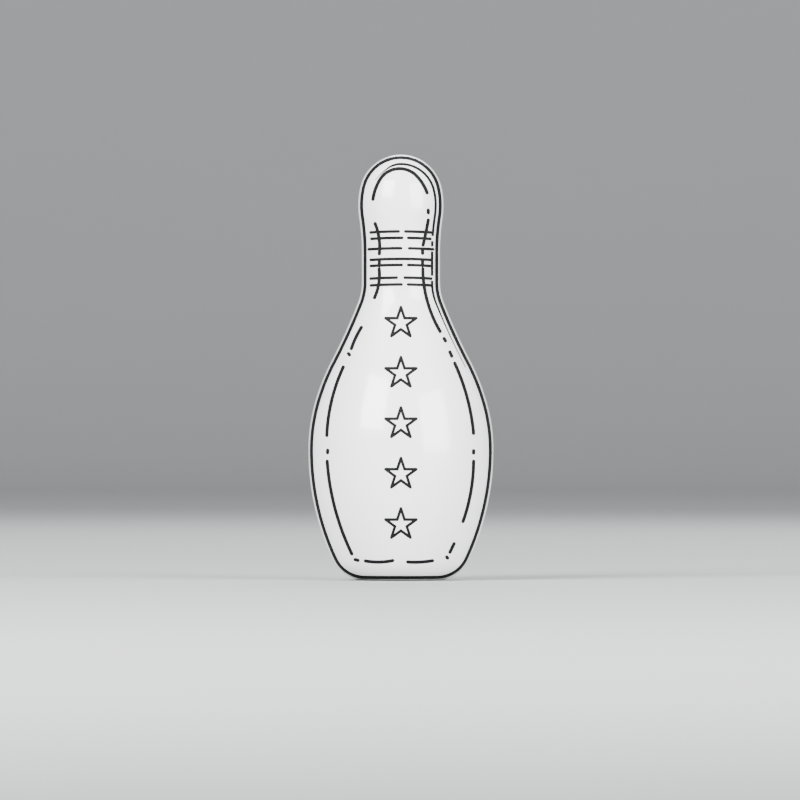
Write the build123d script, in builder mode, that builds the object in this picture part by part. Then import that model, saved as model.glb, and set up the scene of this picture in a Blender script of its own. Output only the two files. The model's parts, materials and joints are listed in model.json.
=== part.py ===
from build123d import *
import math
import os

# A bowling pin: a turned core of laminated maple boards, a moulded plastic
# coat, a nylon base plate and a printed line drawing on the front and back.
# Millimetres, +Z up, origin at the middle of the foot, front towards -Y.

# Outline, from the foot up to the crown
foot_radius = 32.7
belly_radius = 82.9
belly_height = 116.5
shoulder_rise = 79.5
shoulder_radius = 62.3
shoulder_lean = 27.5
neck_rise = 70.3
neck_radius = 35.0
neck_length = 26.7
head_rise = 42.5
head_radius = 38.2
crown_rise = 45.5

# How much of each curved stretch its first arc takes, against its second
heel_share = 0.387
belly_share = 1.0
flank_share = 3.2
head_share = 2.8
crown_share = 0.295

# Coat and base plate
coat_thickness = 3.0
bond_line = 0.1
coat_opening_radius = 40.0
base_plate_height = 7.0
recess_radius = 20.0
recess_depth = 1.2
socket_radius = 9.5
socket_height = 30.0
socket_chamfer = 0.8
tongue_inner_radius = 26.0
tongue_width = 3.0
tongue_height = 6.0

# Wooden core
turning_allowance = 3.0
core_boards = 3
belly_layers = 2
void_width = 16.0
void_spacing = 28.0
void_length = 84.0
void_above_base = 58.0
centre_hole_radius = 4.0
centre_hole_depth = 8.0

# Printed line drawing
film = 0.15
outline_inset = 1.6
outline_width = 2.25
star_count = 5
star_radius = 14.4
star_notch = 0.382
star_line = 1.9
first_star_height = 50.6
last_star_drop = 36.6
stripe_line = 2.0
stripe_bow = 0.8
dash_line = 2.4
thin_line = 1.6
thin_inset = 6.4
thin_crown_inset = 8.3
thin_tail_drop = 5.7
thin_tail_inset = 7.1
thin_tip_across = 22.8
thin_tip_drop = 22.8
thin_tip_heading = 228.0
thin_end = 0.4
thin_gap = 3.0
wide_thin_gap = 4.4
brow_line = 2.5
brow_inset = 12.6
brow_left_reach = 24.9
brow_left_height = 4.9
brow_right_reach = 23.3
brow_right_height = 10.7

# Neck stripes: height above the neck's foot, half length, middle and width of the gap
stripes = [
    (44.9, 27.9, 1.0, 4.1),
    (39.2, 27.2, 3.8, 3.5),
    (29.9, 30.1, 3.8, 5.3),
    (20.4, 27.8, 0.0, 0.0),
    (15.0, 27.7, 3.6, 3.9),
    (3.7, 27.9, -0.2, 5.3),
    (-2.4, 27.7, 3.5, 4.0),
]
stripes_with_a_wide_thin_gap = (2, 3, 6)

# Heights of the stations
shoulder_height = belly_height + shoulder_rise
neck_foot = shoulder_height + neck_rise
neck_top = neck_foot + neck_length
head_height = neck_top + head_rise
pin_height = head_height + crown_rise
core_inset = coat_thickness + bond_line
core_top = pin_height - core_inset
wood_foot = base_plate_height + bond_line
half_turn = 180.0
up = 90.0
shoulder_heading = up + shoulder_lean

# Contour dashes: side, station that the heights start from, width of the line,
# and the line's points as (height above the station, inset from the outline)
dashes = [
    (-1, neck_foot, dash_line, [(52.5, 13.6), (42.2, 15.6), (25.4, 15.8)]),
    (-1, neck_foot, dash_line, [(20.1, 15.8), (14.8, 15.8)]),
    (-1, neck_foot, dash_line, [(11.9, 15.6), (-0.3, 15.4), (-13.8, 13.5)]),
    (1, neck_foot, dash_line, [(64.4, 13.7), (62.0, 13.4)]),
    (1, neck_foot, dash_line, [(55.6, 12.6), (43.6, 13.6), (33.2, 15.4)]),
    (1, neck_foot, dash_line, [(29.0, 15.7), (25.8, 15.7)]),
    (1, neck_foot, dash_line, [(20.1, 15.7), (14.8, 15.7)]),
    (1, neck_foot, dash_line, [(11.9, 15.5), (-11.1, 14.2), (-44.0, 14.5)]),
    (-1, shoulder_height, dash_line, [(30.0, 12.6), (20.8, 11.8), (11.0, 12.6)]),
    (-1, shoulder_height, dash_line, [(6.6, 12.2), (5.4, 13.7)]),
    (-1, shoulder_height, dash_line, [(-5.4, 13.7), (-33.0, 14.7), (-66.4, 16.4)]),
    (1, shoulder_height, dash_line, [(20.0, 13.9), (17.8, 13.7)]),
    (1, shoulder_height, dash_line, [(8.0, 14.6), (4.2, 14.8)]),
    (1, shoulder_height, dash_line, [(-2.0, 15.4), (-32.0, 16.7), (-64.5, 17.5)]),
    (-1, belly_height, dash_line, [(0.0, 17.7), (-2.2, 17.7)]),
    (-1, belly_height, dash_line, [(-9.8, 17.1), (-57.4, 18.6), (-92.4, 20.1)]),
    (1, belly_height, dash_line, [(-0.4, 18.2), (-2.6, 18.2)]),
    (1, belly_height, dash_line, [(-9.8, 18.0), (-36.5, 17.7), (-63.5, 18.8)]),
    (-1, 0.0, dash_line, [(19.0, 20.8), (18.4, 23.0)]),
    (1, 0.0, dash_line, [(33.2, 20.2), (25.6, 20.8)]),
    (1, 0.0, dash_line, [(21.4, 21.8), (20.4, 20.6)]),
    (-1, 0.0, dash_line, [(17.9, 29.4), (17.0, 39.0), (18.4, 54.0)]),
    (1, 0.0, dash_line, [(17.1, 54.5), (17.0, 43.5), (18.2, 33.0)]),
]


def unit(heading):
    """Unit vector at an angle from the X axis, in degrees."""
    return Vector(math.cos(math.radians(heading)), math.sin(math.radians(heading)))


def arc_pair(start, start_heading, end, end_heading, share):
    """Where two tangent arcs between two stations meet, and their heading there."""
    leave = unit(start_heading)
    arrive = unit(end_heading)
    across = end - start
    bend = 2 * share * (1 - leave.dot(arrive))
    reach = 2 * across.dot(leave * share + arrive)
    if bend < 1e-9:
        end_lead = across.dot(across) / reach
    else:
        end_lead = (math.sqrt(reach**2 + 4 * bend * across.dot(across)) - reach) / (2 * bend)
    corner_out = start + leave * share * end_lead
    corner_in = end - arrive * end_lead
    meeting = (corner_out + corner_in * share) * (1 / (1 + share))
    return meeting, (corner_in - corner_out).normalized()


def drawn_in(point, heading, inset):
    """A point moved to the left of its heading."""
    return point + Vector(-heading.Y, heading.X) * inset


def tangent_path(stations, inset=0.0):
    """Smooth line through stations of (x, z, heading, share of the next stretch).

    An inset moves the whole line to its left, so an arc keeps its centre.
    """
    for here, there in zip(stations, stations[1:]):
        leave = unit(here[2])
        arrive = unit(there[2])
        start = Vector(here[0], here[1])
        end = Vector(there[0], there[1])
        first = drawn_in(start, leave, inset)
        last = drawn_in(end, arrive, inset)
        if abs((end - start).normalized().dot(leave) - 1) < 1e-9:
            Line(first, last)
        else:
            meeting, tangent = arc_pair(start, here[2], end, there[2], here[3])
            middle = drawn_in(meeting, tangent, inset)
            TangentArc(first, middle, tangent=leave)
            TangentArc(middle, last, tangent=tangent)


outline_stations = [
    (foot_radius, 0.0, 0.0, heel_share),
    (belly_radius, belly_height, up, belly_share),
    (shoulder_radius, shoulder_height, shoulder_heading, flank_share),
    (neck_radius, neck_foot, up, 1.0),
    (neck_radius, neck_top, up, head_share),
    (head_radius, head_height, up, crown_share),
    (0.0, pin_height, half_turn, 1.0),
]


def arc_radius_at(start, heading, end, height):
    """Radius of the pin at a height that lies on one arc of its outline."""
    left = Vector(-heading.Y, heading.X)
    chord = end - start
    lean = chord.dot(left)
    if abs(lean) < 1e-9:
        return start.X + chord.X * (height - start.Y) / chord.Y
    bend = chord.dot(chord) / (2 * lean)
    centre = start + left * bend
    return centre.X + math.copysign(math.sqrt(bend**2 - (height - centre.Y) ** 2), bend)


def outline_radius(height):
    """Radius of the pin's outside at a height."""
    for here, there in zip(outline_stations, outline_stations[1:]):
        if height <= there[1]:
            start = Vector(here[0], here[1])
            end = Vector(there[0], there[1])
            meeting, tangent = arc_pair(start, here[2], end, there[2], here[3])
            if height <= meeting.Y:
                return arc_radius_at(start, unit(here[2]), meeting, height)
            return arc_radius_at(meeting, tangent, end, height)
    return 0.0


def pin_section(inset):
    """The pin's full section, drawn in from its outside by an inset."""
    with BuildSketch(mode=Mode.PRIVATE) as section:
        with BuildLine():
            Line((0, inset), (foot_radius, inset))
            tangent_path(outline_stations, inset)
            mirror(about=Plane.YZ)
        make_face()
    return section.sketch


def turned(section):
    """Solid turned about the pin's axis from a full section."""
    with BuildPart(mode=Mode.PRIVATE) as solid:
        with BuildSketch(Plane.XZ):
            add(section)
            split(bisect_by=Plane.YZ)
        revolve(axis=Axis.Z)
    return solid.part


def finish(piece, name):
    """Label a finished sub-part and write its STEP file."""
    piece.part.label = name
    export_step(piece.part, f"parts/{name}.step")


os.makedirs("parts", exist_ok=True)

outer_section = pin_section(0.0)
inner_section = pin_section(coat_thickness)
core_section = pin_section(core_inset)
print_section = pin_section(-film)

# Plastic coat: an even shell, open round the base plate, with a plug in the
# hole that the lathe's centre left in the top of the core
with BuildPart() as plastic_coat:
    with BuildSketch(Plane.XZ):
        add(outer_section)
        add(inner_section, mode=Mode.SUBTRACT)
        Rectangle(
            2 * coat_opening_radius,
            base_plate_height,
            align=(Align.CENTER, Align.MIN),
            mode=Mode.SUBTRACT,
        )
        with Locations((0, pin_height - coat_thickness + bond_line)):
            Rectangle(
                2 * (centre_hole_radius - bond_line),
                centre_hole_depth + bond_line,
                align=(Align.CENTER, Align.MAX),
            )
        split(bisect_by=Plane.YZ)
    revolve(axis=Axis.Z)
finish(plastic_coat, "plastic_coat")

# Base plate: a disc held by the coat's lip, with its foot through the opening,
# a shallow hollow under it, a central socket and a tongue up into the wood
with BuildPart() as base_plate:
    with BuildSketch(Plane.XZ):
        add(core_section)
        with Locations((0, base_plate_height)):
            Rectangle(
                2 * belly_radius,
                pin_height,
                align=(Align.CENTER, Align.MIN),
                mode=Mode.SUBTRACT,
            )
        with BuildSketch(mode=Mode.PRIVATE) as foot_plug:
            add(outer_section)
            Rectangle(
                2 * (coat_opening_radius - bond_line),
                2 * base_plate_height,
                mode=Mode.INTERSECT,
            )
        add(foot_plug.sketch)
        for side in (-1, 1):
            with Locations((side * (tongue_inner_radius + tongue_width / 2), base_plate_height)):
                Rectangle(tongue_width, tongue_height, align=(Align.CENTER, Align.MIN))
        Rectangle(2 * recess_radius, 2 * recess_depth, mode=Mode.SUBTRACT)
        Rectangle(2 * socket_radius, 2 * pin_height, mode=Mode.SUBTRACT)
        split(bisect_by=Plane.YZ)
    revolve(axis=Axis.Z)
    socket_mouth = base_plate.edges().filter_by_position(Axis.Z, recess_depth, recess_depth)
    chamfer(socket_mouth.sort_by(SortBy.LENGTH)[0], socket_chamfer)
finish(base_plate, "base_plate")

# What is turned, bored and slotted in the glued-up core
core_envelope = turned(core_section)

with BuildPart(mode=Mode.PRIVATE) as core_cuts:
    with BuildSketch(Plane.XZ):
        Rectangle(2 * socket_radius, 2 * socket_height)
        with Locations((0, core_top)):
            Rectangle(2 * centre_hole_radius, 2 * centre_hole_depth)
        for side in (-1, 1):
            with Locations((side * (tongue_inner_radius + tongue_width / 2), wood_foot)):
                Rectangle(tongue_width + 2 * bond_line, 2 * tongue_height)
        split(bisect_by=Plane.YZ)
    revolve(axis=Axis.Z)

with BuildPart(mode=Mode.PRIVATE) as core_voids:
    with BuildSketch(Plane.XY.offset(void_above_base)):
        with GridLocations(0, void_spacing, 1, 2):
            Rectangle(2 * belly_radius, void_width)
    extrude(amount=void_length)

# Boards: the three core boards run the full height, and the belly boards
# stop below the neck; the outermost ones are cut to shape by the lathe alone
core_half_width = max(head_radius, neck_radius) - coat_thickness + turning_allowance
core_board = 2 * core_half_width / core_boards
belly_board = (belly_radius - coat_thickness + turning_allowance - core_half_width) / belly_layers
belly_layer = core_half_width + belly_board
far = 2 * belly_radius

# name: left, right, front, back and top faces
boards = {
    "core_left_board": (-core_half_width, -core_board / 2, -core_half_width, core_half_width, pin_height),
    "core_centre_board": (-core_board / 2, core_board / 2, -core_half_width, core_half_width, pin_height),
    "core_right_board": (core_board / 2, core_half_width, -core_half_width, core_half_width, pin_height),
    "left_belly_board_inner": (-belly_layer, -core_half_width, -core_half_width, core_half_width, neck_foot),
    "left_belly_board_outer": (-far, -belly_layer, -core_half_width, core_half_width, neck_foot),
    "right_belly_board_inner": (core_half_width, belly_layer, -core_half_width, core_half_width, neck_foot),
    "right_belly_board_outer": (belly_layer, far, -core_half_width, core_half_width, neck_foot),
    "front_belly_board_inner": (-far, far, -belly_layer, -core_half_width, neck_foot),
    "front_belly_board_outer": (-far, far, -far, -belly_layer, neck_foot),
    "back_belly_board_inner": (-far, far, core_half_width, belly_layer, neck_foot),
    "back_belly_board_outer": (-far, far, belly_layer, far, neck_foot),
}

for name, (left, right, front, back, top) in boards.items():
    with BuildPart() as board:
        with BuildSketch(Plane.XY.offset(wood_foot)):
            with Locations(((left + right) / 2, (front + back) / 2)):
                Rectangle(right - left, back - front)
        extrude(amount=top - wood_foot)
        add(core_envelope, mode=Mode.INTERSECT)
        if top == pin_height:
            add(core_cuts.part, mode=Mode.SUBTRACT)
        if name == "core_centre_board":
            add(core_voids.part, mode=Mode.SUBTRACT)
    finish(board, name)


def star_ring(height):
    """Outline of a five-pointed star, point up, at a height on the pin's axis."""
    corners = []
    for i in range(10):
        reach = star_radius if i % 2 == 0 else star_radius * star_notch
        turn = math.radians(up + 36 * i)
        corners.append((reach * math.cos(turn), height + reach * math.sin(turn)))
    with BuildSketch(mode=Mode.PRIVATE) as shape:
        with BuildLine():
            Polyline(*corners, close=True)
        make_face()
    with BuildSketch(mode=Mode.PRIVATE) as ring:
        add(shape.sketch)
        offset(amount=star_line / 2)
        with BuildSketch(mode=Mode.PRIVATE) as inside:
            add(shape.sketch)
            offset(amount=-star_line / 2, kind=Kind.INTERSECTION)
        add(inside.sketch, mode=Mode.SUBTRACT)
    return ring.sketch


def stroke(points, width):
    """A drawn line of even width with round ends, through two or three points."""
    with BuildSketch(mode=Mode.PRIVATE) as line:
        with BuildLine(mode=Mode.PRIVATE) as middle:
            if len(points) == 2:
                Line(*points)
            else:
                ThreePointArc(*points)
        SlotArc(middle.edge(), width)
    return line.sketch


def neck_stripe(rise, half_length, gap_middle, gap_width):
    """A slightly bowed stripe across the neck, in two pieces if it has a gap."""
    end = half_length - stripe_line / 2
    if gap_width:
        gap_edge = (gap_width + stripe_line) / 2
        spans = [(-end, gap_middle - gap_edge), (gap_middle + gap_edge, end)]
    else:
        spans = [(-end, end)]
    with BuildSketch(mode=Mode.PRIVATE) as stripe:
        for left, right in spans:
            points = []
            for x in (left, (left + right) / 2, right):
                points.append((x, neck_foot + rise + stripe_bow * (0.5 - (x / half_length) ** 2)))
            add(stroke(points, stripe_line))
    return stripe.sketch


def outline_ring():
    """The heavy line that runs round the whole drawing, just inside its edge."""
    with BuildSketch(mode=Mode.PRIVATE) as ring:
        add(pin_section(outline_inset))
        add(pin_section(outline_inset + outline_width), mode=Mode.SUBTRACT)
    return ring.sketch


def thin_edge(inset, crown_inset, end_inset):
    """Stations of one edge of the thin shading line, from its tail up and over the head."""
    tail_height = shoulder_height - thin_tail_drop
    tail_reach = outline_radius(tail_height) - thin_tail_inset - end_inset
    return [
        (tail_reach, tail_height, shoulder_heading, flank_share),
        (neck_radius - inset, neck_foot, up, 1.0),
        (neck_radius - inset, neck_top, up, head_share),
        (head_radius - inset, head_height, up, crown_share),
        (0.0, pin_height - crown_inset, half_turn, 1.0),
        (-thin_tip_across, pin_height - thin_tip_drop - end_inset, thin_tip_heading, 1.0),
    ]


def shading_line():
    """Thin line inside the outline, tapered at both ends and broken at each stripe."""
    with BuildSketch(mode=Mode.PRIVATE) as line:
        outer_edge = thin_edge(thin_inset, thin_crown_inset, 0.0)
        inner_edge = thin_edge(thin_inset + thin_line, thin_crown_inset + thin_line, thin_end)
        with BuildLine():
            tangent_path(outer_edge)
            tangent_path(inner_edge)
            for end in (0, -1):
                Line(outer_edge[end][:2], inner_edge[end][:2])
        make_face()
        for number, stripe in enumerate(stripes, 1):
            gap = wide_thin_gap if number in stripes_with_a_wide_thin_gap else thin_gap
            with Locations((neck_radius - thin_inset, neck_foot + stripe[0])):
                Rectangle(4 * thin_line, gap, mode=Mode.SUBTRACT)
    return line.sketch


def brow_arc():
    """The heavy arc inside the top of the head."""
    with BuildSketch(mode=Mode.PRIVATE) as arc:
        with BuildLine(mode=Mode.PRIVATE) as middle:
            tangent_path(
                [
                    (-brow_left_reach, head_height + brow_left_height, 82.0, 1.0),
                    (-1.2, pin_height - brow_inset, 0.0, 1.0),
                    (brow_right_reach, head_height + brow_right_height, -70.0, 1.0),
                ]
            )
        SlotArc(middle.wire(), brow_line)
    return arc.sketch


def contour_dashes(stripe_sketches):
    """The broken lines that follow the outline down both sides and along the foot."""
    with BuildSketch(mode=Mode.PRIVATE) as group:
        for side, station, width, line in dashes:
            points = []
            for rise, inset in line:
                height = station + rise
                points.append((side * (outline_radius(height) - inset), height))
            add(stroke(points, width))
        for stripe in stripe_sketches:
            add(stripe, mode=Mode.SUBTRACT)
    return group.sketch


# Every printed piece, drawn once and used on both faces of the pin
star_pitch = (neck_foot - last_star_drop - first_star_height) / (star_count - 1)
stripe_sketches = [neck_stripe(*stripe) for stripe in stripes]
artwork = {
    "outline": outline_ring(),
    "shading_line": shading_line(),
    "brow_arc": brow_arc(),
    "contour_dashes": contour_dashes(stripe_sketches),
}
for number, stripe in enumerate(stripe_sketches, 1):
    artwork[f"neck_stripe_{number}"] = stripe
for number in range(star_count):
    artwork[f"star_{number + 1}"] = star_ring(first_star_height + number * star_pitch)

# Each piece is the film's thickness of ink between these two turned shapes
ink_face = turned(print_section)
coat_face = turned(outer_section)

faces = {
    "front": Plane.XZ,
    "back": Plane(origin=(0, 0, 0), x_dir=(-1, 0, 0), z_dir=(0, 1, 0)),
}
for face_name, face_plane in faces.items():
    for piece_name, sketch in artwork.items():
        with BuildPart() as printed:
            with BuildSketch(face_plane):
                add(sketch)
            extrude(amount=belly_radius + coat_thickness)
            add(ink_face, mode=Mode.INTERSECT)
            add(coat_face, mode=Mode.SUBTRACT)
        finish(printed, f"{face_name}_{piece_name}")
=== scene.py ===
"""A bowling pin with a glossy white coat and a black line drawing printed on it.

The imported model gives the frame. The coat and the base plate are turned again
as fine meshes, each printed line is laid on the coat as a thin film, and the
maple boards inside keep their own shapes and get their grain.
"""

import json
import logging
import math
from dataclasses import dataclass, replace
from enum import Enum

import bmesh
import bpy
import numpy as np
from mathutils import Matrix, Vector

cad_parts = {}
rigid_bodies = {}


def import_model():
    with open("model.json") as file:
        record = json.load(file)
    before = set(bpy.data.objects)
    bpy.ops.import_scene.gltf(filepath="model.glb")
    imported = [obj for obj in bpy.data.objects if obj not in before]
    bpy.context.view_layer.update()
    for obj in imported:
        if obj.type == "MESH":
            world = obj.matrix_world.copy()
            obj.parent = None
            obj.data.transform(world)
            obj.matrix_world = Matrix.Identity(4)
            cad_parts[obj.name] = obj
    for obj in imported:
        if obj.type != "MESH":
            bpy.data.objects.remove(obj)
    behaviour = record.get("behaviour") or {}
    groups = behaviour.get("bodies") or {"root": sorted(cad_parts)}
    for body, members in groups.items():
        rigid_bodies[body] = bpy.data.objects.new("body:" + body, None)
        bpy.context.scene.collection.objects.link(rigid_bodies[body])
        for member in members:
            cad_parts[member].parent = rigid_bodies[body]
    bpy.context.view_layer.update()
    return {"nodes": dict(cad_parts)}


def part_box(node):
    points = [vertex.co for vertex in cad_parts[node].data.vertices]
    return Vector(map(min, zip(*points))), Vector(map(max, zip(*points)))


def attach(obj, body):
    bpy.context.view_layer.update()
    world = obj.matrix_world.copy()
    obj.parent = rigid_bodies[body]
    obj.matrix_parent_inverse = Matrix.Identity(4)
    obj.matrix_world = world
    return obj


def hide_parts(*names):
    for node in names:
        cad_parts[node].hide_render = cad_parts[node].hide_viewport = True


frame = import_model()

log = logging.getLogger("bowling_pin")
MM = 0.001
UP = 90.0
BODY = "root"
LAYER = "layer"
SHARP_EDGE = 38.0
SMOOTH_BEND = 25.0
NEARLY_HALF = 0.45
STAR_TIPS = 5
SEAM_GAP = 0.5e-6
DOUBLE_GAP = 0.2e-6
SLIVER = 0.1e-6
RAY_LENGTH = 2.0
TINY = 1e-9

Socket = bpy.types.NodeSocket
Colour = tuple[float, float, float]


# ---------------------------------------------------------------- node helpers


class NodeBench:
    """Adds and joins the nodes of one tree."""

    def __init__(self, tree: bpy.types.NodeTree) -> None:
        """Starts from a tree that is already there.

        Args:
            tree: the shader or geometry tree to fill.
        """
        self.tree = tree

    def add(self, kind: str, inputs: dict[str, object] | None = None, **settings: object) -> bpy.types.Node:
        """Adds a node.

        Args:
            kind: the node's type name.
            inputs: values or sockets for its inputs, by the input's name or number.
            settings: the node's own settings.

        Returns:
            The new node.
        """
        node = self.tree.nodes.new(kind)
        for name, value in settings.items():
            setattr(node, name, value)
        for name, value in (inputs or {}).items():
            socket = node.inputs[name] if isinstance(name, int) else self.socket(node.inputs, name)
            if isinstance(value, bpy.types.NodeSocket):
                self.tree.links.new(value, socket)
            else:
                socket.default_value = value
        return node

    def socket(self, sockets: bpy.types.bpy_prop_collection, name: str) -> Socket:
        """The socket in use that has a name or an identifier."""
        return next(s for s in sockets if s.enabled and name in (s.name, s.identifier))

    def out(self, kind: str, inputs: dict[str, object] | None = None, **settings: object) -> Socket:
        """Adds a node as add() does and returns its first output in use."""
        return next(s for s in self.add(kind, inputs, **settings).outputs if s.enabled)

    def math(self, operation: str, first: object, second: object = 0.0) -> Socket:
        """The result of a Math node on two values or sockets."""
        return self.out("ShaderNodeMath", {0: first, 1: second}, operation=operation)

    def product(self, first: object, *others: object) -> Socket:
        """Several values or sockets multiplied together.

        Args:
            first: the first value or socket.
            others: what it is multiplied by.

        Returns:
            The socket with the result.
        """
        made = first
        for other in others:
            made = self.math("MULTIPLY", made, other)
        return made

    def inverse(self, value: Socket) -> Socket:
        """One less the value."""
        return self.math("SUBTRACT", 1.0, value)

    def mix(self, factor: object, low: object, high: object) -> Socket:
        """A colour between two colours.

        Args:
            factor: how much of the second colour.
            low: the first colour, or its socket.
            high: the second colour, or its socket.

        Returns:
            The socket with the mixed colour.
        """
        node = self.add("ShaderNodeMix", data_type="RGBA")
        for name, value in (("Factor_Float", factor), ("A_Color", low), ("B_Color", high)):
            socket = self.socket(node.inputs, name)
            if isinstance(value, bpy.types.NodeSocket):
                self.tree.links.new(value, socket)
            elif name == "Factor_Float":
                socket.default_value = value
            else:
                socket.default_value = (*value, 1.0)
        return self.socket(node.outputs, "Result_Color")

    def step(self, value: object, low: float, high: float) -> Socket:
        """A smooth step from 0 to 1 as the value goes from low to high.

        Args:
            value: the socket to read.
            low: where the step starts.
            high: where the step ends.

        Returns:
            The socket with the step.
        """
        settings = {"Value": value, "From Min": low, "From Max": high}
        return self.out("ShaderNodeMapRange", settings, interpolation_type="SMOOTHSTEP")


# -------------------------------------------------------------------- finishes


@dataclass(frozen=True)
class Finish:
    """What every finish has: its name, its colours and how it shines."""

    name: str
    colour: Colour
    shade: Colour
    roughness: float

    def noise(self, bench: NodeBench, at: Socket, scale: float, detail: float = 3.0) -> Socket:
        """Plain noise at a place.

        Args:
            bench: the tree's bench.
            at: where the noise is read.
            scale: how many waves there are to a metre.
            detail: how many finer layers it has.

        Returns:
            The noise's value.
        """
        return bench.out("ShaderNodeTexNoise", {"Vector": at, "Scale": scale, "Detail": detail})

    def place(self, bench: NodeBench, stretch: tuple[float, float, float] = (1, 1, 1)) -> Socket:
        """The place on the object, in metres, stretched along its axes.

        Args:
            bench: the tree's bench.
            stretch: how much each axis is multiplied by.

        Returns:
            The socket with the place.
        """
        place = bench.add("ShaderNodeTexCoord").outputs["Object"]
        return bench.out("ShaderNodeMapping", {"Vector": place, "Scale": stretch})

    def bump(self, bench: NodeBench, height: Socket, depth: float, strength: float = 0.5) -> Socket:
        """A surface normal raised by a height.

        Args:
            bench: the tree's bench.
            height: the height, from 0 to 1.
            depth: how far the height reaches, in metres.
            strength: how much of it shows.

        Returns:
            The socket with the normal.
        """
        return bench.out("ShaderNodeBump", {"Height": height, "Distance": depth, "Strength": strength})

    def surface(self, bench: NodeBench) -> dict[str, object]:
        """What the shader's inputs are set to; each finish has its own."""
        return {"Base Color": (*self.colour, 1.0), "Roughness": self.roughness}

    def material(self) -> bpy.types.Material:
        """The finish as a material.

        Returns:
            The material.
        """
        made = bpy.data.materials.get(self.name)
        if made:
            return made
        made = bpy.data.materials.new(self.name)
        made.use_nodes = True
        made.diffuse_color = (*self.colour, 1.0)
        made.node_tree.nodes.clear()
        bench = NodeBench(made.node_tree)
        shader = bench.add("ShaderNodeBsdfPrincipled", self.surface(bench))
        bench.add("ShaderNodeOutputMaterial", {"Surface": shader.outputs["BSDF"]})
        return made


@dataclass(frozen=True)
class CoatFinish(Finish):
    """Moulded plastic: a deep gloss, faint orange peel and a little wear where balls strike."""

    scuff_middle: float = 117.5 * MM
    scuff_reach: float = 47.5 * MM
    scuff_stretch: tuple[float, float, float] = (38.0, 38.0, 260.0)
    scuff_strength: float = 0.35
    scuff_colour: Colour = (0.80, 0.80, 0.79)
    drift_scale: float = 11.0
    cloud_scale: float = 60.0
    cloud_depth: float = 0.10
    peel_scale: float = 230.0
    peel_depth: float = 0.06 * MM
    index: float = 1.49
    gloss: float = 0.5
    gloss_roughness: float = 0.06

    def surface(self, bench: NodeBench) -> dict[str, object]:
        """Gloss, orange peel and scuffs.

        Args:
            bench: the material's node bench.

        Returns:
            The shader's inputs by name.
        """
        place = self.place(bench)
        height = bench.add("ShaderNodeSeparateXYZ", {"Vector": place}).outputs["Z"]
        away = bench.math("ABSOLUTE", bench.math("SUBTRACT", height, self.scuff_middle))
        zone = bench.inverse(bench.step(away, self.scuff_reach * 0.4, self.scuff_reach))
        slanted = self.place(bench, self.scuff_stretch)
        marks = bench.step(self.noise(bench, slanted, 1.0, 5.0), 0.66, 0.74)
        scuffs = bench.product(marks, zone, self.scuff_strength)
        drift = bench.step(self.noise(bench, place, self.drift_scale), 0.35, 0.7)
        tone = bench.mix(drift, self.colour, self.shade)
        cloud = bench.product(self.noise(bench, place, self.cloud_scale), self.cloud_depth)
        rough = bench.math("ADD", cloud, self.roughness - self.cloud_depth / 2)
        peel = self.noise(bench, place, self.peel_scale, 2.0)
        height = bench.math("ADD", peel, bench.product(marks, -0.4))
        return {
            "Base Color": bench.mix(scuffs, tone, self.scuff_colour),
            "Roughness": bench.math("ADD", rough, bench.product(scuffs, self.scuff_strength)),
            "IOR": self.index,
            "Coat Weight": self.gloss,
            "Coat Roughness": self.gloss_roughness,
            "Normal": self.bump(bench, height, self.peel_depth),
        }


@dataclass(frozen=True)
class InkFinish(Finish):
    """Screen-printed ink: solid matt black with the mesh's faint tooth."""

    tooth_scale: float = 2600.0
    tooth_depth: float = 0.03 * MM
    drift_scale: float = 140.0
    cloud_scale: float = 320.0
    cloud_depth: float = 0.16
    index: float = 1.45
    shine: float = 0.06

    def surface(self, bench: NodeBench) -> dict[str, object]:
        """Matt black with a fine tooth.

        Args:
            bench: the material's node bench.

        Returns:
            The shader's inputs by name.
        """
        place = self.place(bench)
        cloud = bench.product(self.noise(bench, place, self.cloud_scale), self.cloud_depth)
        tooth = self.noise(bench, place, self.tooth_scale, 1.0)
        return {
            "Base Color": bench.mix(self.noise(bench, place, self.drift_scale), self.colour, self.shade),
            "Roughness": bench.math("ADD", cloud, self.roughness - self.cloud_depth / 2),
            "IOR": self.index,
            "Specular IOR Level": self.shine,
            "Normal": self.bump(bench, tooth, self.tooth_depth, 0.4),
        }


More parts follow.
